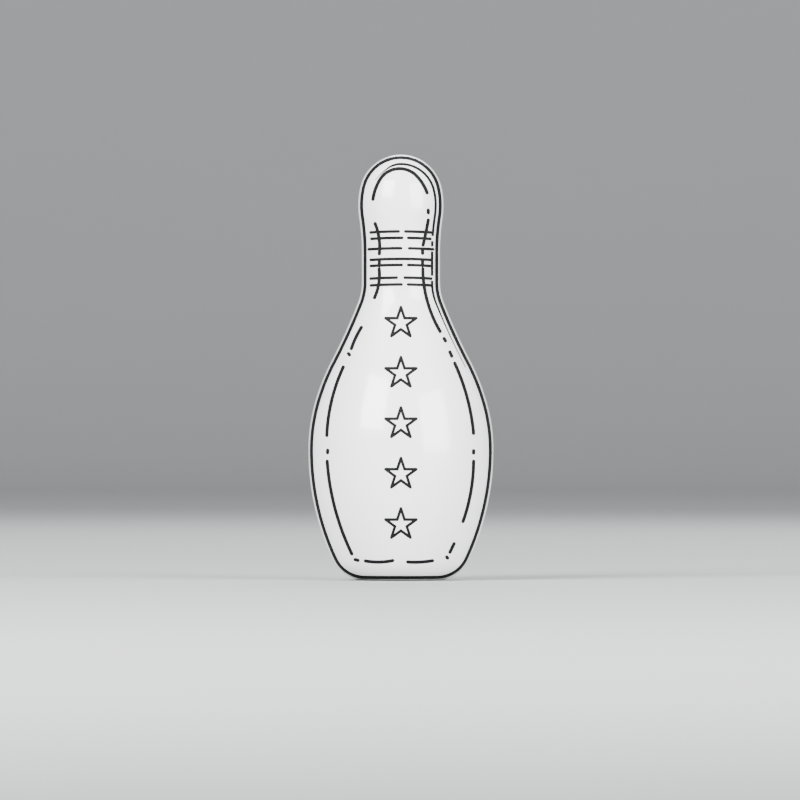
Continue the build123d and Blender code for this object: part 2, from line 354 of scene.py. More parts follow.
@dataclass(frozen=True)
class NylonFinish(Finish):
    """Turned nylon: satin, with the lathe's rings and grey rubs where it stands on the lane."""

    ring_pitch: float = 0.8 * MM
    ring_depth: float = 0.04 * MM
    rub_top: float = 0.9 * MM
    rub_lines: float = 900.0
    rub_patches: float = 55.0
    rub_strength: float = 0.6
    rub_colour: Colour = (0.42, 0.40, 0.37)
    drift_scale: float = 30.0
    index: float = 1.53

    def surface(self, bench: NodeBench) -> dict[str, object]:
        """Satin with rings and rubs.

        Args:
            bench: the material's node bench.

        Returns:
            The shader's inputs by name.
        """
        place = self.place(bench)
        parts = bench.add("ShaderNodeSeparateXYZ", {"Vector": place}).outputs
        flat = bench.out("ShaderNodeCombineXYZ", {"X": parts["X"], "Y": parts["Y"]})
        reach = bench.out("ShaderNodeVectorMath", {0: flat}, operation="LENGTH")
        wave = bench.math("SINE", bench.product(reach, 2 * math.pi / self.ring_pitch))
        rings = bench.math("ADD", bench.product(wave, 0.5), 0.5)
        low = bench.inverse(bench.step(parts["Z"], 0.05 * MM, self.rub_top))
        lines = bench.math("ADD", bench.product(reach, self.rub_lines), self.noise(bench, place, 40.0))
        settings = {"W": lines, "Scale": 1.0, "Detail": 5.0}
        worn = bench.out("ShaderNodeTexNoise", settings, noise_dimensions="1D")
        patches = bench.step(self.noise(bench, place, self.rub_patches, 7.0), 0.3, 0.75)
        rubs = bench.product(worn, patches, low)
        tone = bench.mix(self.noise(bench, place, self.drift_scale), self.colour, self.shade)
        return {
            "Base Color": bench.mix(bench.product(rubs, self.rub_strength), tone, self.rub_colour),
            "Roughness": bench.math("ADD", bench.product(rubs, 0.2), self.roughness),
            "IOR": self.index,
            "Normal": self.bump(bench, bench.math("SUBTRACT", rings, rubs), self.ring_depth, 0.6),
        }


@dataclass(frozen=True)
class MapleFinish(Finish):
    """Bare turned maple: growth rings along the board, fine pores and a dry surface."""

    ring_pitch: float = 5 * MM
    shift: float = 0.0
    grain_squeeze: float = 0.08
    wander_scale: float = 22.0
    wander: float = 26 * MM
    fibre_stretch: tuple[float, float, float] = (900.0, 900.0, 24.0)
    fibre_depth: float = 0.12 * MM
    index: float = 1.5

    def surface(self, bench: NodeBench) -> dict[str, object]:
        """Rings and pores, all running up the pin.

        Args:
            bench: the material's node bench.

        Returns:
            The shader's inputs by name.
        """
        move = {0: self.place(bench, (1.0, 1.0, self.grain_squeeze)), 1: (0.0, self.shift, self.shift)}
        along = bench.out("ShaderNodeVectorMath", move, operation="ADD")
        wander = bench.product(self.noise(bench, along, self.wander_scale, 4.0), self.wander)
        parts = bench.add("ShaderNodeSeparateXYZ", {"Vector": along}).outputs
        depth = bench.math("ADD", parts["Y"], wander)
        rings = bench.math("SINE", bench.product(depth, 2 * math.pi / self.ring_pitch))
        fibre = self.noise(bench, self.place(bench, self.fibre_stretch), 1.0, 4.0)
        tone = bench.mix(bench.product(bench.step(rings, 0.1, 1.0), 0.7), self.colour, self.shade)
        pores = bench.product(bench.step(fibre, 0.55, 0.8), 0.35)
        return {
            "Base Color": bench.mix(pores, tone, tuple(0.6 * part for part in self.shade)),
            "Roughness": bench.math("ADD", bench.product(fibre, 0.2), self.roughness - 0.1),
            "IOR": self.index,
            "Normal": self.bump(bench, fibre, self.fibre_depth),
        }


@dataclass(frozen=True)
class PaperFinish(Finish):
    """The studio's floor and wall: matt painted board with the faintest mottle."""

    def surface(self, bench: NodeBench) -> dict[str, object]:
        """Matt, almost even.

        Args:
            bench: the material's node bench.

        Returns:
            The shader's inputs by name.
        """
        place = self.place(bench)
        return {
            "Base Color": bench.mix(self.noise(bench, place, 2.0), self.colour, self.shade),
            "Roughness": self.roughness,
            "Specular IOR Level": 0.2,
        }


class Finishes(Enum):
    """Every finish in the scene."""

    COAT = CoatFinish("coat_white_plastic", (0.93, 0.93, 0.918), (0.905, 0.907, 0.897), 0.22)
    OUTLINE = InkFinish("outline_black_ink", (0.006, 0.006, 0.007), (0.011, 0.011, 0.012), 0.78)
    CONTOUR = InkFinish("contour_black_ink", (0.006, 0.006, 0.007), (0.011, 0.011, 0.012), 0.62)
    STRIPE = InkFinish("stripe_black_ink", (0.006, 0.006, 0.007), (0.012, 0.012, 0.012), 0.52)
    STAR = InkFinish("star_black_ink", (0.007, 0.007, 0.007), (0.012, 0.012, 0.013), 0.52)
    BASE = NylonFinish("base_white_nylon", (0.74, 0.725, 0.67), (0.69, 0.675, 0.62), 0.42)
    CORE = MapleFinish("core_maple", (0.70, 0.52, 0.33), (0.54, 0.36, 0.20), 0.62)
    BELLY = MapleFinish("belly_maple", (0.74, 0.57, 0.38), (0.58, 0.41, 0.24), 0.62, 6 * MM)
    PAPER = PaperFinish("studio_paper", (0.40, 0.405, 0.41), (0.39, 0.395, 0.40), 0.9)


# --------------------------------------------------------------------- outline


@dataclass(frozen=True)
class Station:
    """A place that a drawn line passes through, with its heading there in degrees."""

    x: float
    z: float
    heading: float
    share: float = 1.0

    def point(self) -> np.ndarray:
        """The place as an array."""
        return np.array((self.x, self.z))

    def way(self) -> np.ndarray:
        """The unit vector along the heading."""
        turn = math.radians(self.heading)
        return np.array((math.cos(turn), math.sin(turn)))


@dataclass(frozen=True)
class Arc:
    """One arc or straight run from start to end, leaving start along way."""

    start: np.ndarray
    way: np.ndarray
    end: np.ndarray

    def left(self) -> np.ndarray:
        """The unit vector to the left of the start's heading."""
        return np.array((-self.way[1], self.way[0]))

    def bend(self) -> float:
        """Signed radius, positive where it turns left, and 0 on a straight run.

        Returns:
            The radius, in metres.
        """
        chord = self.end - self.start
        lean = float(chord @ self.left())
        return 0.0 if abs(lean) < 1e-9 else float(chord @ chord) / (2 * lean)

    def sweep(self) -> float:
        """The signed angle that the arc turns through, in radians.

        Returns:
            The angle, positive where it turns left.
        """
        radius = self.bend()
        if not radius:
            return 0.0
        chord = float(np.linalg.norm(self.end - self.start))
        return math.copysign(2 * math.asin(min(1.0, chord / (2 * abs(radius)))), radius)

    def steps(self, spacing: float) -> int:
        """How many steps, each of at most the spacing, the arc is divided into."""
        length = abs(self.sweep() * self.bend()) or float(np.linalg.norm(self.end - self.start))
        return max(2, math.ceil(length / spacing))

    def points(self, steps: int, inset: float = 0.0) -> list[np.ndarray]:
        """Points along the arc, moved to its left.

        Args:
            steps: how many equal steps it is divided into.
            inset: how far the points are moved.

        Returns:
            One point more than there are steps, from start to end.
        """
        shares = np.arange(steps + 1) / steps
        if not self.bend():
            return [self.start + (self.end - self.start) * share + self.left() * inset for share in shares]
        centre = self.start + self.left() * self.bend()
        spoke = (self.start - centre) * (1 - inset / self.bend())
        square = np.array((-spoke[1], spoke[0]))
        turns = self.sweep() * shares
        return [centre + spoke * math.cos(turn) + square * math.sin(turn) for turn in turns]

    def radius_at(self, height: float) -> float:
        """The x of the arc at a height.

        Args:
            height: the height, within the arc's.

        Returns:
            The x there.
        """
        radius = self.bend()
        if not radius:
            chord = self.end - self.start
            return float(self.start[0] + chord[0] * (height - self.start[1]) / chord[1])
        centre = self.start + self.left() * radius
        rise = height - centre[1]
        return float(centre[0] + math.copysign(math.sqrt(max(0.0, radius**2 - rise**2)), radius))


def arcs_through(stations: list[Station]) -> list[Arc]:
    """Tangent arcs, two to each stretch, through a row of stations.

    Args:
        stations: the places and headings that the line passes through.

    Returns:
        The arcs in order.
    """
    made = []
    for here, there in zip(stations, stations[1:]):
        start, end, leave, arrive = here.point(), there.point(), here.way(), there.way()
        across = end - start
        if abs(float(across @ leave) - np.linalg.norm(across)) < TINY:
            made.append(Arc(start, leave, end))
            continue
        bend = 2 * here.share * (1 - float(leave @ arrive))
        reach = 2 * float(across @ (leave * here.share + arrive))
        if bend < TINY:
            lead = float(across @ across) / reach
        else:
            lead = (math.sqrt(reach**2 + 4 * bend * float(across @ across)) - reach) / (2 * bend)
        corner_out = start + leave * here.share * lead
        corner_in = end - arrive * lead
        meeting = (corner_out + corner_in * here.share) / (1 + here.share)
        tangent = (corner_in - corner_out) / np.linalg.norm(corner_in - corner_out)
        made.append(Arc(start, leave, meeting))
        made.append(Arc(meeting, tangent, end))
    return made


@dataclass
class PinOutline:
    """The pin's outline, from the edge of its foot up to its crown."""

    foot_radius: float = 32.7 * MM
    belly_radius: float = 82.9 * MM
    belly_height: float = 116.5 * MM
    shoulder_radius: float = 62.3 * MM
    shoulder_height: float = 196.0 * MM
    shoulder_lean: float = 27.5
    neck_radius: float = 35.0 * MM
    neck_foot: float = 266.3 * MM
    neck_top: float = 293.0 * MM
    head_radius: float = 38.2 * MM
    head_height: float = 335.5 * MM
    height: float = 381.0 * MM
    heel_share: float = 0.387
    flank_share: float = 3.2
    head_share: float = 2.8
    crown_share: float = 0.295

    def __post_init__(self) -> None:
        """Works the arcs out and compares the outline with the frame."""
        stations = [
            Station(self.foot_radius, 0.0, 0.0, self.heel_share),
            Station(self.belly_radius, self.belly_height, UP),
            Station(self.shoulder_radius, self.shoulder_height, UP + self.shoulder_lean, self.flank_share),
            Station(self.neck_radius, self.neck_foot, UP),
            Station(self.neck_radius, self.neck_top, UP, self.head_share),
            Station(self.head_radius, self.head_height, UP, self.crown_share),
            Station(0.0, self.height, 2 * UP),
        ]
        self.arcs = arcs_through(stations)
        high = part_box("plastic_coat")[1]
        off = max(abs(high[2] - self.height), abs(high[0] - self.belly_radius))
        log.info("outline differs from the frame by %.3f mm", off / MM)

    def radius_at(self, height: float) -> float:
        """The pin's radius at a height.

        Args:
            height: the height above the floor.

        Returns:
            The radius there.
        """
        for arc in self.arcs:
            if height <= arc.end[1]:
                return arc.radius_at(height)
        return 0.0

    def points(self, inset: float, spacing: float) -> list[np.ndarray]:
        """Points up the outline, drawn in by an inset.

        Args:
            inset: how far the line lies inside the outline.
            spacing: the longest step between points.

        Returns:
            The points, from the foot's edge to the crown.
        """
        return path_points(self.arcs, [arc.steps(spacing) for arc in self.arcs], inset)


def path_points(arcs: list[Arc], steps: list[int], inset: float = 0.0) -> list[np.ndarray]:
    """Points along a row of arcs, each joint between two arcs given once.

    Args:
        arcs: the arcs in order.
        steps: how many steps each is divided into.
        inset: how far the points are moved to the left.

    Returns:
        The points from the first arc's start to the last one's end.
    """
    made = arcs[0].points(steps[0], inset)
    for arc, count in zip(arcs[1:], steps[1:]):
        made += arc.points(count, inset)[1:]
    return made


def cut_at(points: list[np.ndarray], axis: int, value: float) -> tuple[list[np.ndarray], list[np.ndarray]]:
    """Cuts a row of points in two where it first crosses a value.

    Args:
        points: the row.
        axis: 0 to cut at an x, 1 to cut at a height.
        value: the x or the height.

    Returns:
        The row before the cut and the row after it, both with the point on the cut.
    """
    for i in range(1, len(points)):
        before = points[i - 1][axis] - value
        after = points[i][axis] - value
        if before * after <= 0 and before != after:
            cut = points[i - 1] + (points[i] - points[i - 1]) * (before / (before - after))
            return points[:i] + [cut], [cut] + points[i:]
    raise ValueError("the row of points doesn't cross the value")


def softened(corners: list[np.ndarray], radius: float, closed: bool, steps: int = 4) -> list[np.ndarray]:
    """Rounds the sharp corners of a profile a little.

    Args:
        corners: the profile.
        radius: how far back from a corner its rounding starts.
        closed: whether the last point joins the first.
        steps: how many runs a rounding has.

    Returns:
        The profile with its sharp corners rounded; a closed one ends on its first point.
    """
    made = []
    last = len(corners) - 1
    for i, tip in enumerate(corners):
        if not closed and i in (0, last):
            made.append(tip)
            continue
        one = corners[i - 1] - tip
        two = corners[(i + 1) % len(corners)] - tip
        sizes = np.linalg.norm(one), np.linalg.norm(two)
        if float(one @ two) < -math.cos(math.radians(SMOOTH_BEND)) * sizes[0] * sizes[1]:
            made.append(tip)
            continue
        start = tip + one * min(radius / sizes[0], NEARLY_HALF)
        end = tip + two * min(radius / sizes[1], NEARLY_HALF)
        for share in np.arange(steps + 1) / steps:
            made.append(start * (1 - share) ** 2 + tip * 2 * share * (1 - share) + end * share**2)
    return made + [made[0]] if closed else made


# ---------------------------------------------------------------- node modelling


class GeometryTree:
    """A geometry tree with named inputs, used as a modifier and then applied."""

    def __init__(self, name: str, inputs: dict[str, str]) -> None:
        """Makes an empty tree.

        Args:
            name: the tree's name.
            inputs: the socket type of each input after the geometry, by its name.
        """
        self.tree = bpy.data.node_groups.new(name, "GeometryNodeTree")
        face = self.tree.interface
        face.new_socket(name="Geometry", in_out="OUTPUT", socket_type="NodeSocketGeometry")
        face.new_socket(name="Geometry", in_out="INPUT", socket_type="NodeSocketGeometry")
        self.ids = {}
        for label, kind in inputs.items():
            socket = face.new_socket(name=label, in_out="INPUT", socket_type=kind)
            self.ids[label] = socket.identifier
        self.bench = NodeBench(self.tree)
        self.given = self.bench.add("NodeGroupInput").outputs

    def close(self, geometry: Socket) -> None:
        """Ends the tree: smooth, realised and in its finish.

        Args:
            geometry: what the tree has made.
        """
        smooth = self.bench.out("GeometryNodeSetShadeSmooth", {"Geometry": geometry})
        real = self.bench.out("GeometryNodeRealizeInstances", {"Geometry": smooth})
        inputs = {"Geometry": real, "Material": self.given["Finish"]}
        dressed = self.bench.out("GeometryNodeSetMaterial", inputs)
        self.bench.add("NodeGroupOutput", {"Geometry": dressed})

    def apply(self, piece: bpy.types.Object, values: dict[str, object]) -> bpy.types.Object:
        """Runs the tree on a piece and keeps the result as a plain mesh.

        Args:
            piece: the object that the tree starts from.
            values: the inputs' values, by name.

        Returns:
            The same object with its new mesh.
        """
        modifier = piece.modifiers.new(self.tree.name, "NODES")
        modifier.node_group = self.tree
        for label, value in values.items():
            modifier[self.ids[label]] = value
        piece.update_tag()
        graph = bpy.context.evaluated_depsgraph_get()
        mesh = bpy.data.meshes.new_from_object(piece.evaluated_get(graph))
        piece.modifiers.clear()
        old = piece.data
        piece.data = mesh
        bpy.data.meshes.remove(old)
        mesh.name = piece.name
        return piece


class Lathe(GeometryTree):
    """Turns a row of profile points about the Z axis into a closed skin."""

    def __init__(self) -> None:
        """Builds the tree: a grid whose rows are the profile's points and whose columns are turns."""
        kinds = {"Profile Points": "NodeSocketInt", "Turns": "NodeSocketInt", "Finish": "NodeSocketMaterial"}
        super().__init__("turned_profile", kinds)
        bench = self.bench
        given = self.given
        columns = bench.math("ADD", given["Turns"], 1.0)
        size = {"Size X": 1.0, "Size Y": 1.0, "Vertices X": given["Profile Points"], "Vertices Y": columns}
        grid = bench.out("GeometryNodeMeshGrid", size)
        spot = bench.out("GeometryNodeInputPosition")
        parts = bench.add("ShaderNodeSeparateXYZ", {"Vector": spot}).outputs
        steps = bench.math("SUBTRACT", given["Profile Points"], 1.0)
        row = bench.math("ROUND", bench.product(bench.math("ADD", parts["X"], 0.5), steps))
        turn = bench.product(bench.math("ADD", parts["Y"], 0.5), 2 * math.pi)
        inputs = {"Geometry": given["Geometry"], "Value": spot, "Index": row}
        settings = {"data_type": "FLOAT_VECTOR", "domain": "POINT"}
        profile = bench.out("GeometryNodeSampleIndex", inputs, **settings)
        at = bench.add("ShaderNodeSeparateXYZ", {"Vector": profile}).outputs
        x = bench.product(at["X"], bench.math("COSINE", turn))
        y = bench.product(at["X"], bench.math("SINE", turn))
        place = bench.out("ShaderNodeCombineXYZ", {"X": x, "Y": y, "Z": at["Z"]})
        turned = bench.out("GeometryNodeSetPosition", {"Geometry": grid, "Position": place})
        self.close(bench.out("GeometryNodeMergeByDistance", {"Geometry": turned, "Distance": SEAM_GAP}))

    def turn(self, name: str, profile: list[np.ndarray], turns: int, finish: Finishes) -> bpy.types.Object:
        """Turns a profile.

        Args:
            name: the piece's name.
            profile: its (radius, height) points; a solid's ends meet, or both are on the axis.
            turns: how many faces go round.
            finish: the piece's finish.

        Returns:
            The turned piece, its faces outwards.
        """
        piece = new_piece(name, [(x, 0.0, z) for x, z in profile], [])
        inputs = {"Profile Points": len(profile), "Turns": turns, "Finish": finish.value.material()}
        self.apply(piece, inputs)
        face_outwards(piece)
        return piece


class InkPress(GeometryTree):
    """Lays a flat drawn band on the coat: every corner goes to where a ray meets the coat."""

    def __init__(self) -> None:
        """Builds the tree: a ray from the front or the back, then a lift along the coat's normal."""
        kinds = {
            "Coat": "NodeSocketObject",
            "Side": "NodeSocketFloat",
            "Lift": "NodeSocketFloat",
            "Sink": "NodeSocketFloat",
            "Finish": "NodeSocketMaterial",
        }
        super().__init__("ink_on_coat", kinds)
        bench = self.bench
        given = self.given
        target = bench.add("GeometryNodeObjectInfo", {"Object": given["Coat"]}).outputs["Geometry"]
        spot = bench.out("GeometryNodeInputPosition")
        parts = bench.add("ShaderNodeSeparateXYZ", {"Vector": spot}).outputs
        start = {"X": parts["X"], "Y": given["Side"], "Z": parts["Z"]}
        back = bench.product(given["Side"], -1.0)
        inputs = {
            "Target Geometry": target,
            "Source Position": bench.out("ShaderNodeCombineXYZ", start),
            "Ray Direction": bench.out("ShaderNodeCombineXYZ", {"Y": back}),
            "Ray Length": RAY_LENGTH,
        }
        hit = bench.add("GeometryNodeRaycast", inputs).outputs
        layer = bench.out("GeometryNodeInputNamedAttribute", {"Name": LAYER}, data_type="FLOAT")
        over = bench.product(layer, bench.math("ADD", given["Lift"], given["Sink"]))
        reach = {0: hit["Hit Normal"], "Scale": bench.math("SUBTRACT", over, given["Sink"])}
        move = bench.out("ShaderNodeVectorMath", reach, operation="SCALE")
        place = bench.out("ShaderNodeVectorMath", {0: hit["Hit Position"], 1: move}, operation="ADD")
        inputs = {"Geometry": given["Geometry"], "Position": place}
        self.close(bench.out("GeometryNodeSetPosition", inputs))


def new_piece(name: str, points: list, faces: list) -> bpy.types.Object:
    """A mesh object in the scene.

    Args:
        name: the object's name.
        points: its vertices.
        faces: its faces.

    Returns:
        The object, at the origin.
    """
    mesh = bpy.data.meshes.new(name)
    mesh.from_pydata([tuple(float(part) for part in point) for point in points], [], faces)
    piece = bpy.data.objects.new(name, mesh)
    bpy.context.scene.collection.objects.link(piece)
    return piece


def face_outwards(piece: bpy.types.Object) -> None:
    """Merges a closed skin's doubles and turns its faces outwards.

    Args:
        piece: the piece with the skin.
    """
    work = bmesh.new()
    work.from_mesh(piece.data)
    bmesh.ops.remove_doubles(work, verts=work.verts, dist=DOUBLE_GAP)
    bmesh.ops.dissolve_degenerate(work, edges=work.edges, dist=SLIVER)
    bmesh.ops.recalc_face_normals(work, faces=work.faces)
    work.to_mesh(piece.data)
    work.free()
    piece.data.set_sharp_from_angle(angle=math.radians(SHARP_EDGE))


def join_frame(piece: bpy.types.Object, slot: str, *nodes: str) -> None:
    """Puts a finished piece in the frame.

    Args:
        piece: the piece.
        slot: the record's material slot; not used.
        nodes: the frame's nodes that it stands for.
    """
    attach(piece, BODY)
    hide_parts(*nodes)
    for node in nodes:
        frame["nodes"][node].data.materials.clear()
        frame["nodes"][node].data.materials.append(piece.data.materials[0])
    log.info("%s: %d faces", piece.name, len(piece.data.polygons))


# ----------------------------------------------------------- the turned pieces


@dataclass
class PlasticCoat:
    """The moulded white coat, open round the base plate, with its plug at the crown."""

    outline: PinOutline
    thickness: float = 3.0 * MM
    bond_line: float = 0.1 * MM
    opening_radius: float = 40.0 * MM
    plug_radius: float = 3.9 * MM
    plug_depth: float = 8.0 * MM
    edge_round: float = 0.35 * MM
    spacing: float = 3.0 * MM
    turns: int = 256

    def profile(self) -> list[np.ndarray]:
        """The coat's section: down the outside, in at its lip, up the inside and down the plug.

        Returns:
            The section's (radius, height) points.
        """
        outside = cut_at(self.outline.points(0.0, self.spacing), 0, self.opening_radius)[1]
        inside = cut_at(self.outline.points(self.thickness, 3 * self.spacing), 0, self.opening_radius)[1]
        under_crown = cut_at(inside[1:], 0, self.plug_radius)[0]
        plug_end = self.outline.height - self.thickness - self.plug_depth
        plug = [np.array((self.plug_radius, plug_end)), np.array((0.0, plug_end))]
        return softened(outside[::-1] + inside[:1] + under_crown + plug, self.edge_round, closed=False)

    def build(self, lathe: Lathe) -> bpy.types.Object:
        """Turns the coat and dresses it.

        Args:
            lathe: the tree that turns profiles.

        Returns:
            The finished coat.
        """
        piece = lathe.turn("moulded_coat", self.profile(), self.turns, Finishes.COAT)
        join_frame(piece, "coat", "plastic_coat")
        return piece


@dataclass
class BasePlate:
    """The nylon disc that the pin stands on, with its hollow, socket and tongue."""

    coat: PlasticCoat
    height: float = 7.0 * MM
    recess_radius: float = 20.0 * MM
    recess_depth: float = 1.2 * MM
    socket_radius: float = 9.5 * MM
    socket_chamfer: float = 0.8 * MM
    tongue_inner_radius: float = 26.0 * MM
    tongue_width: float = 3.0 * MM
    tongue_height: float = 6.0 * MM
    edge_round: float = 0.4 * MM
    spacing: float = 2.0 * MM
    turns: int = 192

    def profile(self) -> list[np.ndarray]:
        """The plate's section, from the socket's mouth out along the foot and back over the top.

        Returns:
            The section's (radius, height) points.
        """
        outline = self.coat.outline
        plug_radius = self.coat.opening_radius - self.coat.bond_line
        foot = cut_at(outline.points(0.0, self.spacing), 0, plug_radius)[0]
        rim = outline.points(self.coat.thickness + self.coat.bond_line, self.spacing)
        rim = cut_at(cut_at(rim, 0, plug_radius)[1], 1, self.height)[0]
        top = self.height + self.tongue_height
        tongue_radius = self.tongue_inner_radius + self.tongue_width
        hollow = [
            (self.socket_radius + self.socket_chamfer, self.recess_depth),
            (self.recess_radius, self.recess_depth),
            (self.recess_radius, 0.0),
        ]
        upper = [
            (tongue_radius, self.height),
            (tongue_radius, top),
            (self.tongue_inner_radius, top),
            (self.tongue_inner_radius, self.height),
            (self.socket_radius, self.height),
            (self.socket_radius, self.recess_depth + self.socket_chamfer),
        ]
        corners = [np.array(p) for p in hollow] + foot + rim + [np.array(p) for p in upper]
        return softened(corners, self.edge_round, closed=True)

    def build(self, lathe: Lathe) -> bpy.types.Object:
        """Turns the base plate and dresses it.

        Args:
            lathe: the tree that turns profiles.

        Returns:
            The finished base plate.
        """
        piece = lathe.turn("turned_base", self.profile(), self.turns, Finishes.BASE)
        join_frame(piece, "base", "base_plate")
        return piece


@dataclass
class MapleCore:
    """The glued-up boards inside, each with its own run of grain."""

    grain_shift: float = 0.037

    def dress(self) -> None:
        """Gives every board its wood."""
        boards = sorted(name for name in frame["nodes"] if name.endswith(("board", "inner", "outer")))
        for number, name in enumerate(boards):
            kind = Finishes.CORE if name.startswith("core") else Finishes.BELLY
            wood = replace(kind.value, name=f"{name}_maple", shift=number * self.grain_shift)
            node = frame["nodes"][name]
            node.data.materials.clear()
            node.data.materials.append(wood.material())
        log.info("maple boards: %d", len(boards))


# ------------------------------------------------------------- the line drawing

@dataclass
class Run:
    """One drawn line: pairs of points on its two edges, along its length."""

    pairs: np.ndarray
    closed: bool = False


def left_of(ways: np.ndarray) -> np.ndarray:
    """The directions to the left of some directions."""
    return np.stack((-ways[..., 1], ways[..., 0]), axis=-1)


def stroke(centre: list[np.ndarray], width: float, cap_steps: int = 7) -> Run:
    """A line of even width with round ends.

    Args:
        centre: points along its middle, close together.
        width: its width.
        cap_steps: how many steps a round end has.

    Returns:
        The line.
    """
    middle = np.array(centre)
    ways = np.gradient(middle, axis=0)
    ways /= np.linalg.norm(ways, axis=1)[:, None]
    half = width / 2
    turns = np.arange(cap_steps) / cap_steps * math.pi / 2
    reach = half * np.cos(turns)[:, None]
    before = middle[0] - ways[0] * reach
    after = middle[-1] + ways[-1] * reach
    spots = np.concatenate((before, middle, after[::-1]))
    along = np.concatenate((np.repeat(ways[:1], cap_steps, 0), ways, np.repeat(ways[-1:], cap_steps, 0)))
    caps = half * np.sin(turns)
    halves = np.concatenate((caps, np.full(len(middle), half), caps[::-1]))[:, None]
    return Run(np.stack((spots + left_of(along) * halves, spots - left_of(along) * halves), axis=1))


def arc_through(points: list[tuple[float, float]]) -> Arc:
    """The straight run or the arc through two or three points.

    Args:
        points: two or three (x, z) points in order.

    Returns:
        The run or arc from the first point to the last.
    """
    first, last = np.array(points[0]), np.array(points[-1])
    chord = last - first
    size = float(np.linalg.norm(chord))
    way = chord / size
    if len(points) == 2:
        return Arc(first, way, last)
    side = np.array((-way[1], way[0]))
    middle = np.array(points[1]) - first
    along, off = float(middle @ way), float(middle @ side)
    if abs(off) < TINY:
        return Arc(first, way, last)
    rise = (along * (along - size) + off * off) / (2 * off)
    spoke = way * size / 2 + side * rise
    leave = left_of(spoke) / np.linalg.norm(spoke)
    return Arc(first, leave if float(leave @ way) > 0 else -leave, last)


